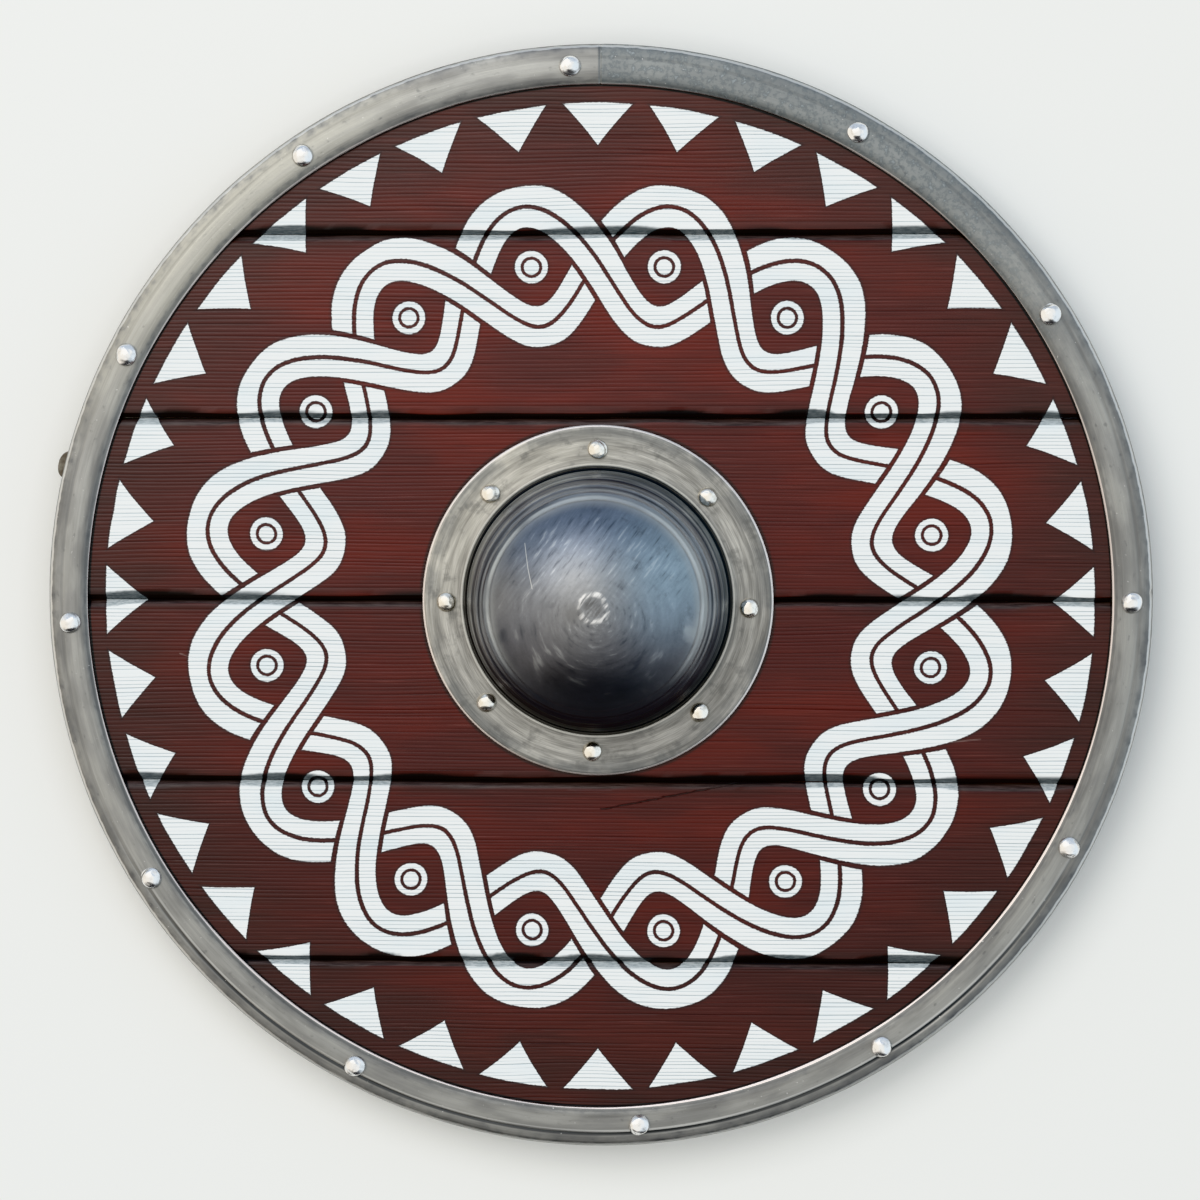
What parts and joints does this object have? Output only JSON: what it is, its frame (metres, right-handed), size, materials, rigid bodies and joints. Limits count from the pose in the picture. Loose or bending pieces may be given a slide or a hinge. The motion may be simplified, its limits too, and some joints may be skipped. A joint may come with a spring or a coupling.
{
  "type": "wooden round shield",
  "caption": "Round plank shield with a folded steel rim, a domed steel boss over a hand hole, and a centre grip behind, lying face up.",
  "frame": {"origin": "on the shield's axis, level with the flat backs of the grip and battens that it lies on", "axes": "+Z is the shield's axis and points out of its painted face; +X runs along the planks; the grip runs along Y, with +Y the shield's top"},
  "size_m": [0.61, 0.61, 0.0942],
  "materials": {
    "stained_wood": "red-brown stain, semi-gloss, with worn silver-white painted ornament",
    "bare_wood": "oiled, satin",
    "rim_steel": "brushed, darkened in patches",
    "boss_steel": "spun and brushed, darkened",
    "rivet_steel": "hammered, bright",
    "screw_steel": "dull",
    "leather": "suede, greyed"
  },
  "bodies": {
    "root": {"plank_1": "stained_wood", "plank_2": "stained_wood", "plank_3": "stained_wood", "plank_4": "stained_wood", "plank_5": "stained_wood", "plank_6": "stained_wood", "rim": "rim_steel", "rim_rivet_1": "rivet_steel", "rim_rivet_2": "rivet_steel", "rim_rivet_3": "rivet_steel", "rim_rivet_4": "rivet_steel", "rim_rivet_5": "rivet_steel", "rim_rivet_6": "rivet_steel", "rim_rivet_7": "rivet_steel", "rim_rivet_8": "rivet_steel", "rim_rivet_9": "rivet_steel", "rim_rivet_10": "rivet_steel", "rim_rivet_11": "rivet_steel", "rim_rivet_12": "rivet_steel", "boss": "boss_steel", "boss_rivet_1": "rivet_steel", "boss_rivet_2": "rivet_steel", "boss_rivet_3": "rivet_steel", "boss_rivet_4": "rivet_steel", "boss_rivet_5": "rivet_steel", "boss_rivet_6": "rivet_steel", "boss_rivet_7": "rivet_steel", "boss_rivet_8": "rivet_steel", "grip": "bare_wood", "batten_left": "bare_wood", "batten_right": "bare_wood", "bar_screw_1": "screw_steel", "bar_screw_2": "screw_steel", "bar_screw_3": "screw_steel", "bar_screw_4": "screw_steel", "bar_screw_5": "screw_steel", "bar_screw_6": "screw_steel", "bar_screw_7": "screw_steel", "bar_screw_8": "screw_steel", "bar_screw_9": "screw_steel", "bar_screw_10": "screw_steel", "hanging_tab": "leather", "tab_nail": "screw_steel"}
  },
  "joints": []
}
